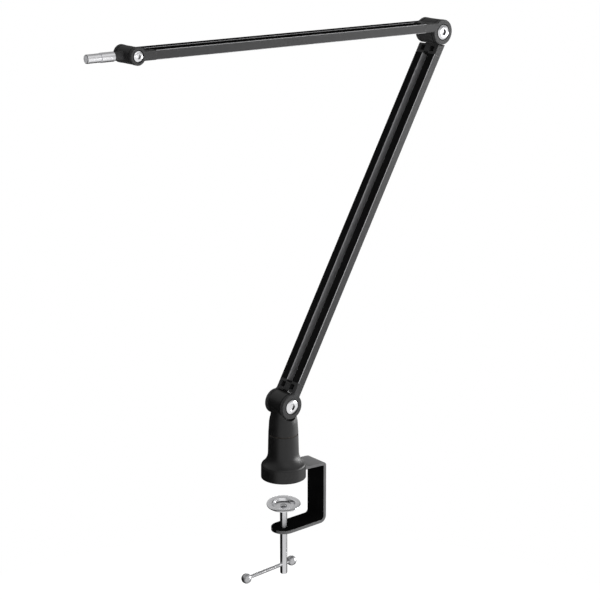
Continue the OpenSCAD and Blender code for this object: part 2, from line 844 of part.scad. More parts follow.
// Threaded rod with a riveted head, and a cross hole for the handle bar
module clamp_spindle() {
    r = spindle_d / 2;
    b = spindle_bevel;
    head = plate_floor + plate_play;
    color(chrome) difference() {
        rotate_extrude() polygon([
            [0, -spindle_drop], [r + plain_step - b, -spindle_drop], [r + plain_step, -spindle_drop + b],
            [r + plain_step, -thread_drop], [r, -thread_drop + plain_step],
            [r, spindle_top - small_bevel], [r - small_bevel, spindle_top],
            [rivet_neck_r, spindle_top], [rivet_neck_r, head],
            [rivet_head_r, head], [rivet_head_r, head + rivet_edge_t],
            [rivet_head_r - 1, head + rivet_head_t], [0, head + rivet_head_t]
        ]);
        at_bar() x_bar(bar_d / 2 + run_gap, -spindle_d, spindle_d);
    }
}

// The handle bar's place, with X along it
module at_bar() {
    translate([0, 0, -bar_drop]) rotate([0, 0, bar_turn]) children();
}

module handle_bar() {
    color(chrome) at_bar() x_bar(bar_d / 2, -bar_long, bar_short);
}

module handle_balls() {
    color(chrome) at_bar() for (x = [-bar_long, bar_short]) difference() {
        translate([x, 0, 0]) sphere(d = ball_d);
        x_bar(bar_d / 2 + ball_gap, -bar_long - ball_gap, bar_short + ball_gap);
    }
}

clamp_bracket();
base_housing();
base_foot_plate();
foot_screws();
swivel_bush();
swivel_neck();
swivel_pin();
swivel_spring_washer();
swivel_nut();
lower_arm_profile();
base_pivot_fork();
elbow_barrel_fitting();
lower_fitting_screws();
base_pivot_screw();
base_pivot_spring_washer();
base_pivot_nut();
base_pivot_friction_washers();
upper_arm_profile();
elbow_fork();
tip_fork();
upper_fitting_screws();
elbow_screw();
elbow_spring_washer();
elbow_nut();
elbow_friction_washers();
tip_screw();
tip_spring_washer();
tip_nut();
tip_friction_washers();
tip_barrel();
mic_stud();
pressure_plate();
clamp_spindle();
handle_bar();
handle_balls();
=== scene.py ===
"""Looks of the microphone boom arm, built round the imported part.

Castings, profiles and fittings are refined from the part's own solids. Turned
and threaded pieces are modelled anew. A piece is shaped in millimetres and
placed in metres, and the studio round it is in metres.
"""

import logging
import math
from dataclasses import dataclass
from enum import Enum
from typing import Callable, Iterable, Sequence

import bmesh
import bpy
from bmesh.types import BMesh, BMFace, BMVert
from bpy.types import Material, Node, NodeSocket, NodeTree, Object
from mathutils import Matrix, Vector


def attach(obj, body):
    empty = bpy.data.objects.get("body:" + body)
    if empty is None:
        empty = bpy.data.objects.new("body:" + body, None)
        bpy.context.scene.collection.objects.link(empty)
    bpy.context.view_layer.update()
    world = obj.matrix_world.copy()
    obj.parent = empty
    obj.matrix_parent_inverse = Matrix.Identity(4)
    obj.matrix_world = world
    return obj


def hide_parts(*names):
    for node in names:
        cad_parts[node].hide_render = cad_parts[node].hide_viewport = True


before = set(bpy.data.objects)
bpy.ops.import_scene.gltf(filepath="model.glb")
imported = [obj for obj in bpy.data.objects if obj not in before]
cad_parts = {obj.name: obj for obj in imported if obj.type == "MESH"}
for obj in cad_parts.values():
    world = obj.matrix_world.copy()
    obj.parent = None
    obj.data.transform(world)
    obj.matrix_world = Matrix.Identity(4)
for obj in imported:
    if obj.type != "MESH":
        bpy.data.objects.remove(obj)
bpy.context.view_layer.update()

LOG = logging.getLogger("boom_arm")
MM = 0.001
TO_METRES = Matrix.Scale(MM, 4)
TURN_STEPS = 96
MERGE_REACH = 0.001
SOLID_MERGE_REACH = 0.002
FLAT_ANGLE = math.radians(0.6)
SHARP_ANGLE = math.radians(25.0)
SHADED_SHARP_ANGLE = math.radians(32.0)
HALF_SIXTH = math.radians(30.0)
LEVEL_REACH = 0.01
RADIUS_REACH = 0.05
UPRIGHT = 0.5
BLUE_SHARE = 1.02
WHITE = (1.0, 1.0, 1.0, 1.0)
# Sockets of a Mix node, whose names are used more than once.
FLOAT_A, FLOAT_B, COLOR_A, COLOR_B, COLOR_RESULT = 2, 3, 6, 7, 2

Triple = tuple[float, float, float]
Span = tuple[float, float]
Profile = Sequence[Span]


class Body(Enum):
    """The moving bodies of the part."""

    CLAMP = "clamp"
    SWIVEL = "swivel"
    LOWER_ARM = "lower_arm"
    UPPER_ARM = "upper_arm"
    TIP_HEAD = "tip_head"
    PLATE = "plate"
    SPINDLE = "spindle"
    HANDLE = "handle"


class Slot(Enum):
    """The finishes that the part's record names for the new pieces."""

    CASTING = "black_casting"
    COATED_STEEL = "black_coated_steel"
    PROFILE = "black_anodised_profile"
    FITTING = "black_fitting"
    BRIGHT_SCREW = "bright_screw"
    CLAMP_CHROME = "clamp_chrome"
    ZINC = "zinc_plated_steel"
    NICKEL = "satin_nickel"


class Weave(Enum):
    """The shared shader groups."""

    GRAIN = "fine_grain"
    LINES = "drawn_lines"
    RINGS = "turned_rings"


# ---- shader nodes


def math_node(
    tree: NodeTree, operation: str, first: NodeSocket, second: NodeSocket | float,
) -> NodeSocket:
    """Adds a math node.

    Args:
        tree: The tree that gets the node.
        operation: What the node does.
        first: Its first number.
        second: Its second number, from a node or plain.

    Returns:
        The socket of the result.
    """
    node = tree.nodes.new("ShaderNodeMath")
    node.operation = operation
    tree.links.new(first, node.inputs[0])
    if isinstance(second, NodeSocket):
        tree.links.new(second, node.inputs[1])
    else:
        node.inputs[1].default_value = second
    return node.outputs[0]


def vector_node(
    tree: NodeTree, operation: str, vector: NodeSocket, other: Sequence[float] | None = None,
) -> Node:
    """Adds a vector math node.

    Args:
        tree: The tree that gets the node.
        operation: What the node does.
        vector: Its first vector.
        other: Its second vector, where it has one.

    Returns:
        The node, whose Vector or Value is the result.
    """
    node = tree.nodes.new("ShaderNodeVectorMath")
    node.operation = operation
    tree.links.new(vector, node.inputs[0])
    if other is not None:
        node.inputs[1].default_value = other
    return node


def range_node(
    tree: NodeTree, value: NodeSocket, source: Span = (0.0, 1.0), target: Span = (0.0, 1.0),
) -> NodeSocket:
    """Adds a node that maps one range of numbers onto another and stops at its ends.

    Args:
        tree: The tree that gets the node.
        value: The number to map.
        source: Ends of its range.
        target: What they become.

    Returns:
        The socket of the result.
    """
    node = tree.nodes.new("ShaderNodeMapRange")
    node.inputs["From Min"].default_value, node.inputs["From Max"].default_value = source
    node.inputs["To Min"].default_value, node.inputs["To Max"].default_value = target
    tree.links.new(value, node.inputs["Value"])
    return node.outputs["Result"]


def noise_node(
    tree: NodeTree, vector: NodeSocket, scale: NodeSocket, detail: float, roughness: float,
) -> NodeSocket:
    """Adds a noise texture.

    Args:
        tree: The tree that gets the node.
        vector: The place on the surface.
        scale: The scale of the noise.
        detail: Its octaves.
        roughness: Share of the finer octaves.

    Returns:
        The socket of the noise.
    """
    node = tree.nodes.new("ShaderNodeTexNoise")
    node.inputs["Detail"].default_value = detail
    node.inputs["Roughness"].default_value = roughness
    tree.links.new(vector, node.inputs["Vector"])
    tree.links.new(scale, node.inputs["Scale"])
    return node.outputs["Fac"]


def light_node(
    tree: NodeTree, kind: str, strength: float = 1.0, tone: NodeSocket | None = None,
) -> NodeSocket:
    """Adds an emission or a background.

    Args:
        tree: The tree that gets the node.
        kind: Type of the node.
        strength: Strength of its light.
        tone: Its colour, where that isn't white.

    Returns:
        The shader's socket.
    """
    node = tree.nodes.new(kind)
    node.inputs["Color"].default_value = WHITE
    node.inputs["Strength"].default_value = strength
    if tone is not None:
        tree.links.new(tone, node.inputs["Color"])
    return node.outputs[0]


def diffuse_node(tree: NodeTree, tone: float) -> NodeSocket:
    """Adds a matt grey shader.

    Args:
        tree: The tree that gets the node.
        tone: Its grey.

    Returns:
        The shader's socket.
    """
    node = tree.nodes.new("ShaderNodeBsdfDiffuse")
    node.inputs["Color"].default_value = (tone, tone, tone, 1.0)
    return node.outputs[0]


def mix_shader(tree: NodeTree, factor: NodeSocket, first: NodeSocket, second: NodeSocket) -> NodeSocket:
    """Mixes two shaders.

    Args:
        tree: The tree that gets the node.
        factor: Share of the second shader.
        first: The first shader.
        second: The second shader.

    Returns:
        The socket of the mix.
    """
    node = tree.nodes.new("ShaderNodeMixShader")
    tree.links.new(factor, node.inputs["Fac"])
    tree.links.new(first, node.inputs[1])
    tree.links.new(second, node.inputs[2])
    return node.outputs[0]


def ray_sorted(
    tree: NodeTree, seen: NodeSocket, mirrored: NodeSocket, rest: NodeSocket, output: str,
) -> None:
    """Shows camera, mirror and other rays a shader each.

    Args:
        tree: The tree that gets the nodes.
        seen: What the camera and rays through glass meet.
        mirrored: What mirrors show.
        rest: What lights the object.
        output: Type of the tree's output node.
    """
    path = tree.nodes.new("ShaderNodeLightPath").outputs
    direct = math_node(tree, "MAXIMUM", path["Is Camera Ray"], path["Is Transmission Ray"])
    gloss = mix_shader(tree, path["Is Glossy Ray"], rest, mirrored)
    blend = mix_shader(tree, direct, gloss, seen)
    tree.links.new(blend, tree.nodes.new(output).inputs["Surface"])


@dataclass(frozen=True)
class Pattern:
    """Noise of one shared shader group: a fine relief and soft clouds.

    The stretch draws the relief out along an axis, as brushing or turning does.
    """

    stretch: Triple
    detail: float
    roughness: float
    cloud_detail: float
    cloud_roughness: float
    cloud_pace: float

    def group(self, name: str) -> NodeTree:
        """Builds the group.

        Args:
            name: Name of the group.

        Returns:
            A group that takes Vector and Scale, and gives Height and Cloud.
        """
        tree = bpy.data.node_groups.new(name, "ShaderNodeTree")
        for label, kind in (("Vector", "NodeSocketVector"), ("Scale", "NodeSocketFloat")):
            tree.interface.new_socket(label, in_out="INPUT", socket_type=kind)
        for label in ("Height", "Cloud"):
            tree.interface.new_socket(label, in_out="OUTPUT", socket_type="NodeSocketFloat")
        given = tree.nodes.new("NodeGroupInput").outputs
        result = tree.nodes.new("NodeGroupOutput").inputs
        stretched = vector_node(tree, "MULTIPLY", given["Vector"], self.stretch).outputs["Vector"]
        relief = noise_node(tree, stretched, given["Scale"], self.detail, self.roughness)
        slower = math_node(tree, "MULTIPLY", given["Scale"], self.cloud_pace)
        cloud = noise_node(tree, given["Vector"], slower, self.cloud_detail, self.cloud_roughness)
        tree.links.new(relief, result["Height"])
        tree.links.new(cloud, result["Cloud"])
        return tree


PATTERNS: dict[Weave, Pattern] = {
    Weave.GRAIN: Pattern((1.0, 1.0, 1.0), 3.0, 0.6, 4.0, 0.55, 0.045),
    Weave.LINES: Pattern((0.012, 1.0, 1.0), 2.0, 0.7, 3.0, 0.5, 0.03),
    Weave.RINGS: Pattern((1.0, 0.03, 0.03), 2.0, 0.65, 3.0, 0.5, 0.05),
}


def shared_group(weave: Weave) -> NodeTree:
    """Gives a shared shader group, which is built once."""
    known = bpy.data.node_groups.get(weave.value)
    return known if known else PATTERNS[weave].group(weave.value)


# ---- finishes


@dataclass(frozen=True)
class Finish:
    """One surface finish, made as a Principled material with a shared group.

    The cloud of the group moves the colour and the roughness between two
    values, and its height makes the relief, in millimetres.
    """

    name: str
    color: Triple
    worn: Triple
    roughness: Span
    weave: Weave
    scale: float
    relief: float
    metallic: float = 0.0
    specular: float = 0.5
    turn: Triple = (0.0, 0.0, 0.0)
    cloud: Span = (0.35, 0.65)

    def material(self) -> Material:
        """Gives this finish's material.

        Returns:
            The material, which is built once.
        """
        known = bpy.data.materials.get(self.name)
        if known:
            return known
        made = bpy.data.materials.new(self.name)
        made.use_nodes = True
        tree = made.node_tree
        nodes, links = tree.nodes, tree.links
        shader = nodes["Principled BSDF"].inputs
        shader["Metallic"].default_value = self.metallic
        shader["Specular IOR Level"].default_value = self.specular
        mapping = nodes.new("ShaderNodeMapping")
        mapping.inputs["Rotation"].default_value = [math.radians(angle) for angle in self.turn]
        links.new(nodes.new("ShaderNodeTexCoord").outputs["Object"], mapping.inputs["Vector"])
        group = nodes.new("ShaderNodeGroup")
        group.node_tree = shared_group(self.weave)
        group.inputs["Scale"].default_value = self.scale
        links.new(mapping.outputs["Vector"], group.inputs["Vector"])

        spread = range_node(tree, group.outputs["Cloud"], self.cloud)
        tint = nodes.new("ShaderNodeMix")
        tint.data_type = "RGBA"
        tint.inputs[COLOR_A].default_value = (*self.color, 1.0)
        tint.inputs[COLOR_B].default_value = (*self.worn, 1.0)
        links.new(spread, tint.inputs["Factor"])
        links.new(tint.outputs[COLOR_RESULT], shader["Base Color"])
        links.new(range_node(tree, spread, target=self.roughness), shader["Roughness"])
        bump = nodes.new("ShaderNodeBump")
        bump.inputs["Strength"].default_value = 1.0
        bump.inputs["Distance"].default_value = self.relief * MM
        links.new(group.outputs["Height"], bump.inputs["Height"])
        links.new(bump.outputs["Normal"], shader["Normal"])
        return made


def grey(value: float) -> Triple:
    """Gives a neutral colour."""
    return (value, value, value * BLUE_SHARE)


def toned(
    name: str, tone: float, worn: float, roughness: Span, scale: float, relief: float,
    weave: Weave = Weave.GRAIN, metallic: float = 0.0, specular: float = 0.5,
    turn: Triple = (0.0, 0.0, 0.0),
) -> Finish:
    """Gives a neutral finish.

    Args:
        name: Name of the finish.
        tone: Its grey.
        worn: Its grey in the clouds.
        roughness: Its roughness, outside the clouds and in them.
        scale: Scale of the pattern.
        relief: Height of the pattern, in millimetres.
        weave: The pattern.
        metallic: 1 where it is bare or plated metal.
        specular: Level of its gloss.
        turn: Turn of the pattern, in degrees.

    Returns:
        The finish.
    """
    return Finish(
        name, grey(tone), grey(worn), roughness, weave, scale, relief, metallic, specular, turn,
    )


def lined(
    name: str, tone: float, worn: float, roughness: Span, specular: float, turn: Triple,
) -> Finish:
    """Gives a neutral finish with fine lines along an arm, as ``toned`` does."""
    return toned(
        name, tone, worn, roughness, LINE_SCALE, LINE_RELIEF, Weave.LINES, specular=specular, turn=turn,
    )


LINE_SCALE = 2600.0
LINE_RELIEF = 0.004
LOWER_TURN = (0.0, 59.83, 0.0)
UPPER_TURN = (0.0, -0.97, 0.0)

CASTING = toned("casting_satin_black", 0.008, 0.010, (0.38, 0.42), 1500.0, 0.008, specular=0.36)
FITTING = toned("fitting_satin_black", 0.040, 0.044, (0.42, 0.46), 1700.0, 0.008, specular=0.12)
STRIP = toned("coated_strip_black", 0.012, 0.014, (0.34, 0.38), 1100.0, 0.008, specular=0.25)
# Darker faces inside the clamp's mouth: painted shade.
STRIP_PAINTED_SHADE = toned("coated_strip_painted_shade", 0.004, 0.006, (0.60, 0.66), 1100.0, 0.008, specular=0.0)
# Lighter narrow edges and top of the clamp strip: painted highlight.
STRIP_PAINTED_HIGHLIGHT = toned("coated_strip_painted_highlight", 0.100, 0.110, (0.40, 0.46), 1100.0, 0.008, specular=0.3)
FOOT = toned("coated_foot_black", 0.020, 0.026, (0.50, 0.60), 900.0, 0.020)
# Bright slanted edge faces of the arm profiles: painted highlight lines.
EDGE_PAINTED_HIGHLIGHT = toned("profile_edge_painted_highlight", 0.44, 0.48, (0.34, 0.40), 1700.0, 0.004)
FIBRE = toned("pressed_fibre", 0.040, 0.060, (0.70, 0.85), 2400.0, 0.030)
LOWER_PROFILE = lined("lower_profile_anodised", 0.009, 0.011, (0.40, 0.44), 0.0, LOWER_TURN)
UPPER_PROFILE = lined("upper_profile_anodised", 0.009, 0.011, (0.40, 0.44), 0.0, UPPER_TURN)
# Lighter copies of the profile finish for the profiles' sides: painted light.
LOWER_SIDE_PAINTED_LIGHT = lined("lower_side_painted_light", 0.038, 0.042, (0.40, 0.44), 0.12, LOWER_TURN)
UPPER_SIDE_PAINTED_LIGHT = lined("upper_side_painted_light", 0.038, 0.042, (0.40, 0.44), 0.12, UPPER_TURN)
# Light walls inside the lower arm's cable channel: painted light in the recess.
CHANNEL_WALL_PAINTED_LIGHT = lined("channel_wall_painted_light", 0.36, 0.40, (0.50, 0.56), 0.2, LOWER_TURN)
BRIGHT = toned("bright_plating", 0.76, 0.72, (0.10, 0.14), 900.0, 0.003, metallic=1.0)
# Dark walls inside the hexagon socket: painted shade in the recess.
SOCKET_PAINTED_SHADE = toned("socket_painted_shade", 0.05, 0.07, (0.40, 0.50), 900.0, 0.004, metallic=1.0)
CHROME = toned("polished_chrome", 0.59, 0.56, (0.10, 0.14), 500.0, 0.002, metallic=1.0)
PLATE = toned("dished_chrome", 0.84, 0.80, (0.22, 0.26), 1500.0, 0.0005, metallic=1.0)
BALL = toned("satin_ball", 0.50, 0.46, (0.40, 0.44), 3000.0, 0.0005, metallic=1.0)
ROD = toned("drawn_rod", 0.50, 0.46, (0.18, 0.22), 3000.0, 0.0005, metallic=1.0)
NICKEL = toned("turned_nickel", 0.76, 0.72, (0.32, 0.36), 3800.0, 0.0004, Weave.RINGS, 1.0)
NICKEL_END = toned("faced_nickel", 0.90, 0.86, (0.90, 0.96), 3800.0, 0.001, metallic=1.0)
ZINC = toned("zinc_plating", 0.60, 0.50, (0.28, 0.40), 1200.0, 0.006, metallic=1.0)
BUSH = Finish(
    "bush_dark_bronze", (0.030, 0.024, 0.018), (0.040, 0.030, 0.022), (0.50, 0.60),
    Weave.GRAIN, 1500.0, 0.004,
)


# ---- mesh helpers


def clean(shape: BMesh) -> None:
    """Merges doubled points of a mesh in millimetres and turns its faces outwards."""
    bmesh.ops.remove_doubles(shape, verts=shape.verts[:], dist=MERGE_REACH)
    bmesh.ops.recalc_face_normals(shape, faces=shape.faces[:])


def turned(profile: Profile, steps: int = TURN_STEPS, ring: bool = False) -> BMesh:
    """Turns a profile of radius and height round the Z axis.

    Args:
        profile: Points of radius and height, in millimetres.
        steps: Number of steps round the axis.
        ring: True where the profile closes on itself instead of at the axis.

    Returns:
        The closed mesh.
    """
    shape = bmesh.new()
    points = [shape.verts.new((radius, 0.0, height)) for radius, height in profile]
    chain = [shape.edges.new(pair) for pair in zip(points, points[1:])]
    if ring:
        chain.append(shape.edges.new((points[-1], points[0])))
    bmesh.ops.spin(
        shape, geom=points + chain, cent=(0, 0, 0), axis=(0, 0, 1), dvec=(0, 0, 0),
        angle=math.tau, steps=steps, use_merge=True,
    )
    clean(shape)
    return shape


def eased(radius: float, height: float, cuts: Profile, upwards: bool = True) -> list[Span]:
    """Gives the points of a turned edge.

    Args:
        radius: The full radius at the edge.
        height: Height of the edge.
        cuts: How far inwards and how far along each point lies.
        upwards: False where the points lie below the edge.

    Returns:
        Points of radius and height.
    """
    sense = 1 if upwards else -1
    return [(radius - inwards, height + sense * along) for inwards, along in cuts]


def from_axis(point: BMVert) -> float:
    """Gives a point's distance from the Z axis."""
    return math.hypot(point.co.x, point.co.y)


def from_flat(point: BMVert) -> float:
    """Gives a point's angle from the middle of its side of a hexagon."""
    return (math.atan2(point.co.y, point.co.x) % (2 * HALF_SIXTH)) - HALF_SIXTH


def pull(point: BMVert, scale: float) -> None:
    """Moves a point towards the Z axis, or away from it."""
    point.co.x *= scale
    point.co.y *= scale


def refined(node: str, width: float, segments: int = 2) -> BMesh:
    """Copies a node of the part, merges it and rounds its sharp edges.

    Args:
        node: Name of the node.
        width: Width of the rounding, in millimetres.
        segments: Number of faces across the rounding.

    Returns:
        The refined mesh, in millimetres and in its place.
    """
    shape = bmesh.new()
    shape.from_mesh(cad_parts[node].data)
    bmesh.ops.scale(shape, vec=(1 / MM,) * 3, verts=shape.verts[:])
    bmesh.ops.remove_doubles(shape, verts=shape.verts[:], dist=SOLID_MERGE_REACH)
    bmesh.ops.dissolve_limit(
        shape, angle_limit=FLAT_ANGLE, use_dissolve_boundaries=False,
        verts=shape.verts[:], edges=shape.edges[:], delimit=set(),
    )
    sharp = [e for e in shape.edges if len(e.link_faces) == 2 and e.calc_face_angle() > SHARP_ANGLE]
    bmesh.ops.bevel(
        shape, geom=sharp, offset=width, offset_type="OFFSET", segments=segments, profile=0.5,
        affect="EDGES", clamp_overlap=True, material=-1,
    )
    return shape


def join(parts: Sequence[BMesh]) -> BMesh:
    """Joins several meshes into the first one.

    Args:
        parts: The meshes. All but the first are used up.

    Returns:
        The first mesh, with all faces.
    """
    whole = parts[0]
    for part in parts[1:]:
        carrier = bpy.data.meshes.new("carrier")
        part.to_mesh(carrier)
        part.free()
        whole.from_mesh(carrier)
        bpy.data.meshes.remove(carrier)
    return whole


@dataclass(frozen=True)
class Area:
    """Faces of a piece that get a finish of their own."""

    finish: Finish
    holds: Callable[[BMFace], bool]


def add_piece(
    shape: BMesh, name: str, body: Body, nodes: Sequence[str], finish: Finish,
    place: Matrix | None = None, areas: Sequence[Area] = (),
) -> Object:
    """Makes an object of a mesh, ties it to the part and reports it.

    Args:
        shape: The mesh, in millimetres. It is used up.
        name: Name of the new piece.
        body: The body that it moves with.
        nodes: The nodes of the part that it stands for.
        finish: The finish that it gets.
        place: Where the mesh goes, where it isn't in its place yet.
        areas: Faces with another finish, picked before the mesh is placed.

    Returns:
        The new object, at the origin.
    """
    shape.normal_update()
    for number, area in enumerate(areas, start=1):
        for face in shape.faces:
            if area.holds(face):
                face.material_index = number
    if place is not None:
        bmesh.ops.transform(shape, matrix=place, verts=shape.verts[:])
    bmesh.ops.transform(shape, matrix=TO_METRES, verts=shape.verts[:])
    mesh = bpy.data.meshes.new(name)
    shape.to_mesh(mesh)
    shape.free()
    mesh.shade_smooth()
    mesh.set_sharp_from_angle(angle=SHADED_SHARP_ANGLE)
    for used in (finish, *(area.finish for area in areas)):
        mesh.materials.append(used.material())
    piece = bpy.data.objects.new(name, mesh)
    bpy.context.scene.collection.objects.link(piece)
    piece.modifiers.new("even normals", "WEIGHTED_NORMAL").keep_sharp = True
    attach(piece, body.value)
    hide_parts(*nodes)
    LOG.info("%s: %d faces on %s", name, len(mesh.polygons), body.value)
    return piece


def dress_nodes(nodes: Iterable[str], finish: Finish) -> None:
    """Gives nodes of the part, which stay as they are, a finish.

    Args:
        nodes: Names of the nodes.
        finish: The finish that they get.
    """
    for node in nodes:
        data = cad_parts[node].data
        data.materials.clear()
        data.materials.append(finish.material())
        LOG.info("%s: kept, finish %s", node, finish.name)


# ---- places


@dataclass(frozen=True)
class ArmPose:
    """Sizes and places of the pivots, in millimetres and degrees."""

    pivot_height: float = 83.4
    lower_length: float = 435.8
    upper_length: float = 402.0
    lower_lean: float = 30.17
    upper_rise: float = 0.97
    elbow_front: float = 5.5
    elbow_drop: float = 5.6
    stud_rise: float = 0.7

    @property
    def base_pivot(self) -> Vector:
        """Place of the base pivot."""
        return Vector((0.0, 0.0, self.pivot_height))

    @property
    def elbow(self) -> Vector:
        """Place of the elbow pivot."""
        lean = math.radians(self.lower_lean)
        along = Vector((math.sin(lean), 0.0, math.cos(lean)))
        front = Vector((-math.cos(lean), 0.0, math.sin(lean)))
        return self.base_pivot + self.lower_length * along + self.elbow_front * front

    @property
    def tip(self) -> Vector:
        """Place of the tip pivot."""
        rise = math.radians(self.upper_rise)
        along = Vector((-math.cos(rise), 0.0, math.sin(rise)))
        above = Vector((math.sin(rise), 0.0, math.cos(rise)))
        return self.elbow + self.upper_length * along + self.elbow_drop * above

    @property
    def stud_place(self) -> Matrix:
        """Frame with Z along the stud, from the tip pivot."""
        turn = Matrix.Rotation(math.radians(self.stud_rise - 90), 4, "Y")
        return Matrix.Translation(self.tip) @ turn

    @staticmethod
    def across(pivot: Vector) -> Matrix:
        """Frame of a pivot, with Z along the pivot away from the screw head."""
        return Matrix.Translation(pivot) @ Matrix.Rotation(math.radians(-90), 4, "X")


# ---- sub-assemblies


@dataclass
class PivotHardware:
    """Screw, spring washer, nut and friction washers of one pivot."""

    name: str
    body: Body
    centre: Vector
    shank: float
    head: float
    socket: float
    nut: float
    half_width: float = 14.8
    recess: float = 2.0
    head_height: float = 3.0
    head_edge: float = 0.15
    dome: float = 1.1
    dome_edge: float = 0.25
    dome_power: float = 1.8
    dome_steps: tuple[float, ...] = (0.25, 0.5, 0.7, 0.85, 0.95)
    socket_depth: float = 1.8
    socket_cone: float = 0.35
    socket_taper: float = 0.96
    socket_bevel: float = 0.25
    socket_ease: float = 0.04
    socket_lip: float = 0.5
    neck_fillet: float = 0.2
    point_bevel: float = 0.5
    end: float = 0.4
    spring: float = 0.8
    nut_height: float = 3.2
    nut_play: float = 0.05
    nut_taper: float = 0.96
    nut_bevel: float = 0.22
    nut_bevel_steps: int = 3

    @property
    def low(self) -> float:
        """Height of the head's flat, along the pivot."""
        return self.recess - self.half_width - self.head_height

    @property
    def socket_radius(self) -> float:
        """Radius of the socket's corners."""
        return self.socket / 2 / math.cos(HALF_SIXTH)

    @staticmethod
    def to_hexagon(shape: BMesh, height: float, reach: float, flats: float) -> None:
        """Moves a turned ring of points onto a hexagon.

        Args:
            shape: The mesh that holds the ring.
            height: Height of the ring.
            reach: Radius of the ring.
            flats: Size of the hexagon across its flats.
        """
        for point in shape.verts:
            radius = from_axis(point)
            if abs(point.co.z - height) <= LEVEL_REACH and abs(radius - reach) < RADIUS_REACH:
                pull(point, flats / 2 / math.cos(from_flat(point)) / radius)

    def socket_wall_painted_shade(self, face: BMFace) -> bool:
        """Tells the walls of the hexagon socket, which get a painted shade.

        Args:
            face: A face of the screw.

        Returns:
            True on such a wall.
        """
        middle = face.calc_center_median()
        deep = middle.z < self.low + self.socket_depth
        within = math.hypot(middle.x, middle.y) < self.socket_radius
        return deep and within and abs(face.normal.z) < UPRIGHT

    def screw(self) -> None:
        """Builds the clamping screw with its domed head and hexagon socket."""
        low, floor = self.low, self.low + self.socket_depth
        head_r, shank_r, socket_r = self.head / 2, self.shank / 2, self.socket_radius
        tapered_r, lip_r = socket_r * self.socket_taper, socket_r + self.socket_lip
        neck = low + self.head_height
        end = self.half_width - self.recess + self.spring + self.nut_height + self.end
        shape = turned([
            (0.0, floor + self.socket_cone), (tapered_r, floor), (socket_r, low + self.socket_bevel),
            (socket_r + self.socket_bevel, low + self.socket_ease), (lip_r, low),
            *[
                (lip_r + step * (head_r - lip_r), low + self.dome * step ** self.dome_power)
                for step in self.dome_steps
            ],
            (head_r, low + self.dome + self.dome_edge),
            (head_r, neck - self.head_edge), (head_r - self.head_edge, neck),
            (shank_r + self.neck_fillet, neck), (shank_r, neck + self.neck_fillet),
            (shank_r, end - self.point_bevel), (shank_r - self.point_bevel, end), (0.0, end),
        ])
        self.to_hexagon(shape, floor, tapered_r, self.socket)
        self.to_hexagon(shape, low + self.socket_bevel, socket_r, self.socket)
        # The socket's walls take a dark finish: painted shade in the recess.
        add_piece(
            shape, f"{self.name}_screw_bright", self.body, [f"{self.name}_screw"], BRIGHT,
            ArmPose.across(self.centre), [Area(SOCKET_PAINTED_SHADE, self.socket_wall_painted_shade)],
        )

    def nut_piece(self) -> None:
        """Builds the hexagon nut with its corners turned off on both faces."""
        low = self.half_width - self.recess + self.spring
        high = low + self.nut_height
        flat_r, bore_r = self.nut / 2, self.shank / 2 + self.nut_play
        face_r = flat_r * self.nut_taper
        slope = (flat_r / math.cos(HALF_SIXTH) - face_r) / self.nut_bevel_steps
        bevel = [(face_r + slope * i, self.nut_bevel * i) for i in range(self.nut_bevel_steps + 1)]
        shape = turned([
            (bore_r, low), *[(r, low + z) for r, z in bevel],
            *[(r, high - z) for r, z in reversed(bevel)], (bore_r, high),
        ], ring=True)
        for point in shape.verts:
            radius = from_axis(point)
            if radius > (bore_r + face_r) / 2:
                pull(point, min(1.0, flat_r / math.cos(from_flat(point)) / radius))
        add_piece(
            shape, f"{self.name}_nut_plated", self.body, [f"{self.name}_nut"], ZINC,
            ArmPose.across(self.centre),
        )

    def build(self) -> None:
        """Builds and dresses all the hardware of the pivot."""
        self.screw()
        self.nut_piece()
        dress_nodes([f"{self.name}_spring_washer"], ZINC)
        dress_nodes([f"{self.name}_friction_washers"], FIBRE)


@dataclass
class FixedBase:
    """Flared base, foot plate, bush and the bent clamp strip."""

    casting_round: float = 0.35
    strip_round: float = 0.5
    strip_segments: int = 3
    inner_face: float = 47.0
    mouth_top: float = 0.5
    level: float = 0.9
    sideways: float = 0.3
    inwards: float = 0.2

    def edge(self, face: BMFace) -> bool:
        """Tells the long narrow edges of the strip and its top, which get a painted highlight.

        Args:
            face: A face of the strip.

        Returns:
            True on such an edge.
        """
        if face.normal.z > self.level:
            return face.calc_center_median().z > self.mouth_top
        return abs(face.normal.z) < self.level and abs(face.normal.y) > self.sideways

    def inside(self, face: BMFace) -> bool:
        """Tells the faces that look into the clamp's mouth, which get a painted shade.

        Args:
            face: A face of the strip.

        Returns:
            True on such a face.
        """
        middle = face.calc_center_median()
        if abs(face.normal.y) > self.sideways or middle.z > self.mouth_top:
            return False
        return middle.x < self.inner_face and (face.normal.x < -self.inwards or face.normal.z > self.inwards)

    def build(self) -> None:
        """Builds and dresses the pieces that stay with the table."""
        add_piece(
            refined("base_housing", self.casting_round), "base_casting", Body.CLAMP, ["base_housing"],
            CASTING,
        )
        # The strip's edges and top get a painted highlight, the faces in its mouth a painted shade.
        add_piece(
            refined("clamp_bracket", self.strip_round, self.strip_segments), "clamp_strip", Body.CLAMP,
            ["clamp_bracket"], STRIP,
            areas=[Area(STRIP_PAINTED_HIGHLIGHT, self.edge), Area(STRIP_PAINTED_SHADE, self.inside)],
        )
        dress_nodes(["base_foot_plate"], FOOT)
        dress_nodes(["foot_screws"], ZINC)
        dress_nodes(["swivel_bush"], BUSH)


@dataclass
class Swivel:
    """Neck of the swivel with its hidden pin, washer and nut."""

    casting_round: float = 0.35

    def build(self) -> None:
        """Builds and dresses the swivelling pieces."""
        add_piece(
            refined("swivel_neck", self.casting_round), "swivel_neck_casting", Body.SWIVEL, ["swivel_neck"],
            CASTING,
        )
        dress_nodes(["swivel_pin", "swivel_spring_washer", "swivel_nut"], ZINC)


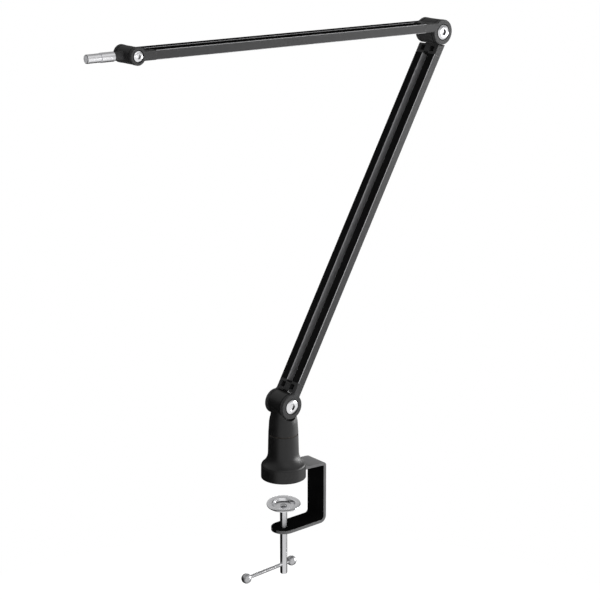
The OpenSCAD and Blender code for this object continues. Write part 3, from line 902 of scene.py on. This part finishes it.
@dataclass
class ArmSection:
    """One arm: its channelled profile, two end fittings and their screws."""

    body: Body
    profile: str
    fittings: tuple[str, str]
    screws: str
    finish: Finish
    # The lighter finish of the profile's sides: painted light.
    side: Finish
    # The channel walls' finish: painted light on the lower arm, the plain profile finish on the upper arm.
    channel_side: Finish
    profile_round: float = 0.2
    fitting_round: float = 0.3
    half_width: float = 14.8
    channel: float = 3.9
    margin: float = 0.5
    upright: float = 0.95
    slanted: float = 0.2

    def flank(self, face: BMFace) -> bool:
        """Tells the two sides of the profile, which get a lighter finish: painted light."""
        outside = abs(face.calc_center_median().y) > self.half_width - self.margin
        return abs(face.normal.y) > self.upright and outside

    def wall(self, face: BMFace) -> bool:
        """Tells the walls of the cable channel, which get a finish of their own: painted light on the lower
        arm.
        """
        inside = abs(face.calc_center_median().y) < self.channel + self.margin
        return abs(face.normal.y) > self.upright and inside

    def edge(self, face: BMFace) -> bool:
        """Tells the slanted edge faces of the profile, which get a painted highlight."""
        return self.slanted < abs(face.normal.y) <= self.upright

    def build(self) -> None:
        """Builds and dresses the arm."""
        add_piece(
            refined(self.profile, self.profile_round), f"{self.profile}_drawn", self.body, [self.profile],
            self.finish,
            # Painted light on the sides and the lower arm's channel walls, a painted highlight on the
            # slanted edges.
            areas=[
                Area(self.side, self.flank), Area(self.channel_side, self.wall), Area(EDGE_PAINTED_HIGHLIGHT, self.edge),
            ],
        )
        for fitting in self.fittings:
            add_piece(
                refined(fitting, self.fitting_round), f"{fitting}_cast", self.body, [fitting],
                FITTING,
            )
        dress_nodes([self.screws], ZINC)


@dataclass
class TiltHead:
    """Barrel of the tilting head and its bright stud."""

    pose: ArmPose
    barrel_round: float = 0.25
    reach: float = 18.5
    thick: float = 9.5
    thin: float = 8.7
    thick_length: float = 15.1
    thin_length: float = 15.5
    tail: float = 2.5
    tail_start: float = 5.0
    root_edge: Profile = ((0.45, 0.0), (0.1, 0.12), (0.0, 0.45))
    step_edge: Profile = ((0.0, 0.4), (0.1, 0.1), (0.35, 0.0))
    groove: Profile = ((0.5, 0.0), (0.5, 0.6), (0.1, 0.8), (0.0, 1.0))
    end_edge: Profile = ((0.0, 0.75), (0.2, 0.3), (0.8, 0.0))
    level: float = 0.9

    def stud(self) -> BMesh:
        """Turns the stud with its tail, its groove and its bevelled end.

        Returns:
            The mesh, with Z along the stud.
        """
        thick_r, thin_r = self.thick / 2, self.thin / 2
        start = self.reach
        step = start + self.thick_length
        end = step + self.thin_length
        return turned([
            (0.0, self.tail_start), (self.tail, self.tail_start), (self.tail, start),
            *eased(thick_r, start, self.root_edge), *eased(thick_r, step, self.step_edge, False),
            *eased(thin_r, step, self.groove), *eased(thin_r, end, self.end_edge, False), (0.0, end),
        ])

    def end_face(self, face: BMFace) -> bool:
        """Tells the flat end of the stud."""
        return face.normal.z > self.level

    def build(self) -> None:
        """Builds and dresses the head."""
        add_piece(
            refined("tip_barrel", self.barrel_round), "tip_barrel_cast", Body.TIP_HEAD, ["tip_barrel"],
            FITTING,
        )
        add_piece(
            self.stud(), "mic_stud_turned", Body.TIP_HEAD, ["mic_stud"], NICKEL,
            self.pose.stud_place, [Area(NICKEL_END, self.end_face)],
        )


@dataclass
class ClampScrew:
    """Pressure plate, threaded spindle and sliding handle."""

    rod: float = 8.0
    rod_steps: int = 32
    pitch: float = 1.25
    thread_depth: float = 0.14
    thread_rings: int = 6
    valley_slope: float = 3.0
    low: float = -114.4
    thread_low: float = -95.7
    thread_gap: float = 0.8
    plate_rim: float = -31.5
    dish_depth: float = 3.4
    dish_wall: float = 2.2
    sheet: float = 1.5
    plate: float = 37.2
    plate_steps: int = 128
    dish: float = 26.2
    lean: float = 6.0
    lean_to: float = 230.0
    least_play: float = 0.05
    bar: float = 4.0
    bar_steps: int = 48
    bar_bevel: float = 0.2
    ball: float = 11.1
    ball_steps: tuple[int, int] = (64, 40)
    bar_drop: float = 103.4
    bar_long: float = 55.1
    bar_short: float = 11.7
    bar_turn: float = 3.1
    rivet: float = 2.6
    rivet_play: float = 0.21
    rivet_head: float = 3.4
    rivet_height: float = 1.2
    rivet_dome: Profile = ((0.0, 0.0), (0.0, 0.5), (0.5, 1.0), (1.4, 1.2))
    rod_end: Profile = ((1.0, 0.0), (0.3, 0.25), (0.0, 0.9))
    rod_top: Profile = ((0.0, 0.4), (0.4, 0.0))
    thread_start: Profile = ((0.0, 0.6), (0.0, 0.05))
    dish_foot: Profile = ((0.8, 0.0), (-0.2, 0.18))
    dish_lip: Profile = ((0.9, 0.85), (0.25, 0.18), (-0.5, 0.0))
    plate_edge: Profile = ((0.75, 0.0), (0.2, 0.22), (0.0, 0.75), (0.2, 1.28), (0.75, 1.5))
    back_lip: Profile = ((-1.6, 0.0), (-1.1, 0.25))
    back_foot: Profile = ((-1.4, 0.35), (-0.4, 0.0))

    @property
    def plate_floor(self) -> float:
        """Height of the dish's floor."""
        return self.plate_rim - self.dish_depth

    @property
    def play(self) -> float:
        """Play of the plate on its rivet."""
        return self.least_play + self.rod / 2 * math.tan(math.radians(self.lean))

    @property
    def plate_place(self) -> Matrix:
        """Frame of the leaning plate, with Z from its rim."""
        middle = Matrix.Translation((0.0, 0.0, self.plate_floor - self.sheet / 2))
        turn = Matrix.Rotation(math.radians(self.lean_to), 4, "Z")
        tilt = Matrix.Rotation(math.radians(self.lean), 4, "Y")
        back = Matrix.Rotation(math.radians(-self.lean_to), 4, "Z")
        rim = Matrix.Translation((0.0, 0.0, self.dish_depth + self.sheet / 2))
        return middle @ turn @ tilt @ back @ rim

    @property
    def bar_place(self) -> Matrix:
        """Frame of the handle, with Z along the bar."""
        drop = Matrix.Translation((0.0, 0.0, -self.bar_drop))
        turn = Matrix.Rotation(math.radians(self.bar_turn), 4, "Z")
        return drop @ turn @ Matrix.Rotation(math.radians(90), 4, "Y")

    def plate_piece(self) -> BMesh:
        """Turns the dished plate, a ring round its rivet.

        Returns:
            The mesh, with Z from the rim.
        """
        dish, sheet, depth = self.dish / 2, self.sheet, self.dish_depth
        floor, hole = dish - self.dish_wall, self.rivet + self.rivet_play
        return turned([
            (hole, -depth), *eased(floor, -depth, self.dish_foot),
            *eased(dish, 0.0, self.dish_lip, False), *eased(self.plate / 2, 0.0, self.plate_edge, False),
            *eased(dish, -sheet, self.back_lip, False), *eased(floor, -depth - sheet, self.back_foot),
            (hole, -depth - sheet),
        ], self.plate_steps, ring=True)

    def spindle(self) -> BMesh:
        """Turns the spindle, cuts its thread and rivets its head.

        Returns:
            The mesh, in its place.
        """
        r = self.rod / 2
        top = self.plate_floor - self.sheet - self.play
        head = self.plate_floor + self.play
        thread_top = top - self.thread_gap
        rings = int((thread_top - self.thread_low) / self.pitch * self.thread_rings)
        step = (thread_top - self.thread_low) / rings
        shape = turned([
            (0.0, self.low), *eased(r, self.low, self.rod_end),
            *eased(r, self.thread_low, self.thread_start, False),
            *[(r, self.thread_low + step * i) for i in range(rings + 1)],
            *eased(r, top, self.rod_top, False), (self.rivet, top), (self.rivet, head),
            *eased(self.rivet_head, head, self.rivet_dome), (0.0, head + self.rivet_height),
        ], self.rod_steps)
        for point in shape.verts:
            up, down = point.co.z - self.thread_low, thread_top - point.co.z
            if min(up, down) < 0.0:
                continue
            fade = min(1.0, up / self.pitch, down / self.pitch)
            phase = (point.co.z / self.pitch - math.atan2(point.co.y, point.co.x) / math.tau) % 1.0
            valley = max(0.0, 1 - self.valley_slope * abs(phase - 0.5))
            pull(point, 1 - self.thread_depth * valley * fade / r)
        return shape

    def handle(self) -> tuple[BMesh, BMesh]:
        """Turns the bar and its two balls.

        Returns:
            The bar and the balls, with Z along the bar.
        """
        r, bevel = self.bar / 2, self.bar_bevel
        bar = turned([
            (0.0, -self.bar_long), (r - bevel, -self.bar_long), (r, -self.bar_long + bevel),
            (r, self.bar_short - bevel), (r - bevel, self.bar_short), (0.0, self.bar_short),
        ], self.bar_steps)
        around, along = self.ball_steps
        balls = []
        for centre in (-self.bar_long, self.bar_short):
            ball = bmesh.new()
            bmesh.ops.create_uvsphere(ball, u_segments=around, v_segments=along, radius=self.ball / 2)
            bmesh.ops.translate(ball, vec=(0.0, 0.0, centre), verts=ball.verts[:])
            balls.append(ball)
        return bar, join(balls)

    def build(self) -> None:
        """Builds and dresses the clamp screw."""
        add_piece(
            self.plate_piece(), "pressure_plate_pressed", Body.PLATE, ["pressure_plate"],
            PLATE, self.plate_place,
        )
        add_piece(
            self.spindle(), "clamp_spindle_threaded", Body.SPINDLE, ["clamp_spindle"],
            CHROME,
        )
        bar, balls = self.handle()
        for piece, name, node, finish in (
            (bar, "handle_bar_drawn", "handle_bar", ROD),
            (balls, "handle_balls_turned", "handle_balls", BALL),
        ):
            add_piece(piece, name, Body.HANDLE, [node], finish, self.bar_place)


# ---- studio


def polar(azimuth: float, reach: float, height: float) -> Vector:
    """Gives a place by its direction round the arm, its distance and its height."""
    around = math.radians(azimuth)
    return Vector((reach * math.cos(around), reach * math.sin(around), height))


@dataclass(frozen=True)
class Lamp:
    """A soft rectangular lamp, by its direction, distance and height."""

    name: str
    azimuth: float
    reach: float
    height: float
    aim_height: float
    width: float
    depth: float
    watts: float
    mirrored: bool = True

    def hang(self) -> None:
        """Hangs the lamp."""
        data = bpy.data.lights.new(self.name, "AREA")
        data.shape = "RECTANGLE"
        data.size, data.size_y = self.width, self.depth
        data.energy = self.watts
        lamp = bpy.data.objects.new(self.name, data)
        bpy.context.scene.collection.objects.link(lamp)
        lamp.location = polar(self.azimuth, self.reach, self.height)
        lamp.visible_glossy = self.mirrored
        lamp.rotation_mode = "QUATERNION"
        aim = Vector((0.0, 0.0, self.aim_height)) - lamp.location
        lamp.rotation_quaternion = aim.to_track_quat("-Z", "Y")


LAMPS = (
    Lamp("side lamp", -82.0, 1.8, 0.30, 0.25, 1.0, 1.0, 20.0, mirrored=False),
    Lamp("edge lamp", -20.0, 1.7, 0.08, 0.10, 1.5, 0.3, 22.0),
    Lamp("rim lamp", 50.0, 1.7, 0.20, 0.0, 0.4, 0.3, 1.8),
    Lamp("fill lamp", -119.0, 1.66, 0.95, 0.25, 2.2, 1.6, 4.5),
    Lamp("back lamp", 104.0, 1.9, 0.35, 0.25, 1.0, 1.0, 20.0, mirrored=False),
)


@dataclass(frozen=True)
class MirrorField:
    """What mirrors show: a white room with a black flag behind the arm.

    Angles are in degrees. In front the tone falls a little over the horizon and
    rises again higher up on the lit side. Behind, it rises from the black flag.
    """

    flag_azimuth: float = 118.0
    flag_reach: float = 80.0
    flag_soft: float = 14.0
    flag_tone: float = 0.01
    front: Span = (4.0, 14.0)
    front_tone: float = 0.40
    back: Span = (14.0, 28.0)
    back_tone: float = 0.62
    crown: Span = (20.0, 30.0)
    crown_azimuth: float = -70.0
    crown_share: float = 0.5
    # A painted shadow on the floor near the arm's foot, seen only in mirrors.
    shadow_pool_place: Triple = (0.46, 0.20, 0.0)
    shadow_pool: Span = (0.34, 0.58)
    shadow_pool_tone: float = 0.08

    def away(self, tree: NodeTree, place: NodeSocket) -> NodeSocket:
        """Adds nodes that darken the side behind the arm, as a black flag does.

        Args:
            tree: The tree that gets the nodes.
            place: A direction, or a place round the arm.

        Returns:
            A socket that is low towards the flag and 1 elsewhere.
        """
        unit = vector_node(tree, "NORMALIZE", place).outputs["Vector"]
        towards = vector_node(tree, "DOT_PRODUCT", unit, polar(self.flag_azimuth, 1.0, 0.0))
        edge = math.cos(math.radians(self.flag_reach))
        full = math.cos(math.radians(self.flag_reach - self.flag_soft))
        return range_node(tree, towards.outputs["Value"], (edge, full), (1.0, self.flag_tone))

    @staticmethod
    def slope(tree: NodeTree, rise: NodeSocket, angles: Span, tones: Span) -> NodeSocket:
        """Adds a node that turns a direction's height into a tone.

        Args:
            tree: The tree that gets the node.
            rise: The height of the direction.
            angles: Elevations between which the tone changes.
            tones: The tones at these.

        Returns:
            The socket of the tone.
        """
        low, high = (math.sin(math.radians(angle)) for angle in angles)
        return range_node(tree, rise, (low, high), tones)

    def sky(self, tree: NodeTree) -> NodeSocket:
        """Adds the nodes that give the world's tone in mirrors.

        Args:
            tree: The world's tree.

        Returns:
            The socket of the tone.
        """
        place = tree.nodes.new("ShaderNodeTexCoord").outputs["Generated"]
        parts = tree.nodes.new("ShaderNodeSeparateXYZ")
        tree.links.new(place, parts.inputs[0])
        rise = parts.outputs["Z"]
        facing = vector_node(tree, "DOT_PRODUCT", place, polar(self.crown_azimuth, 1.0, 0.0))
        lit = range_node(tree, facing.outputs["Value"], (0.0, self.crown_share))
        crown = math_node(tree, "MULTIPLY", self.slope(tree, rise, self.crown, (0.0, 1.0)), lit)
        front = self.slope(tree, rise, self.front, (1.0, self.front_tone))
        mix = tree.nodes.new("ShaderNodeMix")
        tree.links.new(self.away(tree, place), mix.inputs["Factor"])
        tree.links.new(self.slope(tree, rise, self.back, (0.0, self.back_tone)), mix.inputs[FLOAT_A])
        tree.links.new(math_node(tree, "MAXIMUM", front, crown), mix.inputs[FLOAT_B])
        return mix.outputs["Result"]

    def ground(self, tree: NodeTree, place: NodeSocket) -> NodeSocket:
        """Adds the nodes that give the floor's tone in mirrors.

        Args:
            tree: The floor's tree.
            place: The place on the floor.

        Returns:
            The socket of the tone, dark behind and darker in a painted shadow at the arm's foot.
        """
        reach = vector_node(tree, "DISTANCE", place, self.shadow_pool_place).outputs["Value"]
        shadow_pool = range_node(tree, reach, self.shadow_pool, (self.shadow_pool_tone, 1.0))
        return math_node(tree, "MULTIPLY", self.away(tree, place), shadow_pool)


@dataclass
class Studio:
    """Floor, world, lamps and camera."""

    field: MirrorField = MirrorField()
    ambient: float = 0.20
    floor_height: float = -0.33
    floor_radius: float = 6.0
    floor_paint: float = 0.8
    floor_glow: float = 0.90
    shadow_share: float = 0.5
    shadow_fade: Span = (0.25, 0.6)
    azimuth: float = -40.44
    elevation: float = 16.36
    position: Triple = (-1.139354, -1.364494, 0.720779)
    lens: float = 105.594
    sensor: float = 36.0

    def world(self) -> None:
        """Makes the world: white to the camera, the field to mirrors, and dim to the rest."""
        world = bpy.data.worlds.new("studio world")
        bpy.context.scene.world = world
        world.use_nodes = True
        tree = world.node_tree
        tree.nodes.clear()
        kind = "ShaderNodeBackground"
        ray_sorted(
            tree, light_node(tree, kind), light_node(tree, kind, tone=self.field.sky(tree)),
            light_node(tree, kind, self.ambient), "ShaderNodeOutputWorld",
        )

    def floor_white(self) -> Material:
        """Makes the floor's material, white to the camera but for the arm's shadow.

        Returns:
            The material.
        """
        made = bpy.data.materials.new("floor white")
        made.use_nodes = True
        tree = made.node_tree
        tree.nodes.clear()
        kind = "ShaderNodeEmission"
        place = tree.nodes.new("ShaderNodeTexCoord").outputs["Object"]
        near = tree.nodes.new("ShaderNodeAddShader")
        tree.links.new(diffuse_node(tree, self.shadow_share), near.inputs[0])
        tree.links.new(light_node(tree, kind, self.floor_glow), near.inputs[1])
        away = range_node(tree, vector_node(tree, "LENGTH", place).outputs["Value"], self.shadow_fade)
        ray_sorted(
            tree, mix_shader(tree, away, near.outputs[0], light_node(tree, kind)),
            light_node(tree, kind, tone=self.field.ground(tree, place)),
            diffuse_node(tree, self.floor_paint), "ShaderNodeOutputMaterial",
        )
        return made

    def floor(self) -> None:
        """Lays a plain white floor under the lowest pose."""
        shape = bmesh.new()
        bmesh.ops.create_circle(shape, cap_ends=True, segments=TURN_STEPS, radius=self.floor_radius)
        mesh = bpy.data.meshes.new("floor")
        shape.to_mesh(mesh)
        shape.free()
        mesh.materials.append(self.floor_white())
        floor = bpy.data.objects.new("floor", mesh)
        floor.location.z = self.floor_height
        bpy.context.scene.collection.objects.link(floor)

    def camera(self) -> None:
        """Sets up the camera at the photograph's angle."""
        data = bpy.data.cameras.new("camera")
        data.lens = self.lens
        data.sensor_width = self.sensor
        camera = bpy.data.objects.new("camera", data)
        bpy.context.scene.collection.objects.link(camera)
        camera.location = self.position
        around, above = math.radians(self.azimuth), math.radians(self.elevation)
        back = Vector((
            math.sin(around) * math.cos(above), -math.cos(around) * math.cos(above), math.sin(above),
        ))
        camera.rotation_mode = "QUATERNION"
        camera.rotation_quaternion = (-back).to_track_quat("-Z", "Y")
        bpy.context.scene.camera = camera

    def build(self) -> None:
        """Builds the whole studio."""
        self.world()
        self.floor()
        for lamp in LAMPS:
            lamp.hang()
        self.camera()
        bpy.context.scene.view_settings.view_transform = "Standard"


def main() -> None:
    """Builds the arm and its studio."""
    logging.basicConfig(level=logging.INFO, format="%(name)s: %(message)s")
    pose = ArmPose()
    FixedBase().build()
    Swivel().build()
    ArmSection(
        Body.LOWER_ARM, "lower_arm_profile", ("base_pivot_fork", "elbow_barrel_fitting"),
        "lower_fitting_screws", LOWER_PROFILE, LOWER_SIDE_PAINTED_LIGHT, CHANNEL_WALL_PAINTED_LIGHT,
    ).build()
    ArmSection(
        Body.UPPER_ARM, "upper_arm_profile", ("elbow_fork", "tip_fork"),
        "upper_fitting_screws", UPPER_PROFILE, UPPER_SIDE_PAINTED_LIGHT, UPPER_PROFILE,
    ).build()
    for name, body, centre in (
        ("base_pivot", Body.LOWER_ARM, pose.base_pivot), ("elbow", Body.UPPER_ARM, pose.elbow),
    ):
        PivotHardware(name, body, centre, shank=8.0, head=16.0, socket=6.0, nut=13.0).build()
    PivotHardware("tip", Body.UPPER_ARM, pose.tip, shank=6.0, head=10.5, socket=4.0, nut=9.0).build()
    TiltHead(pose).build()
    ClampScrew().build()
    Studio().build()


if __name__ == "__main__":
    main()
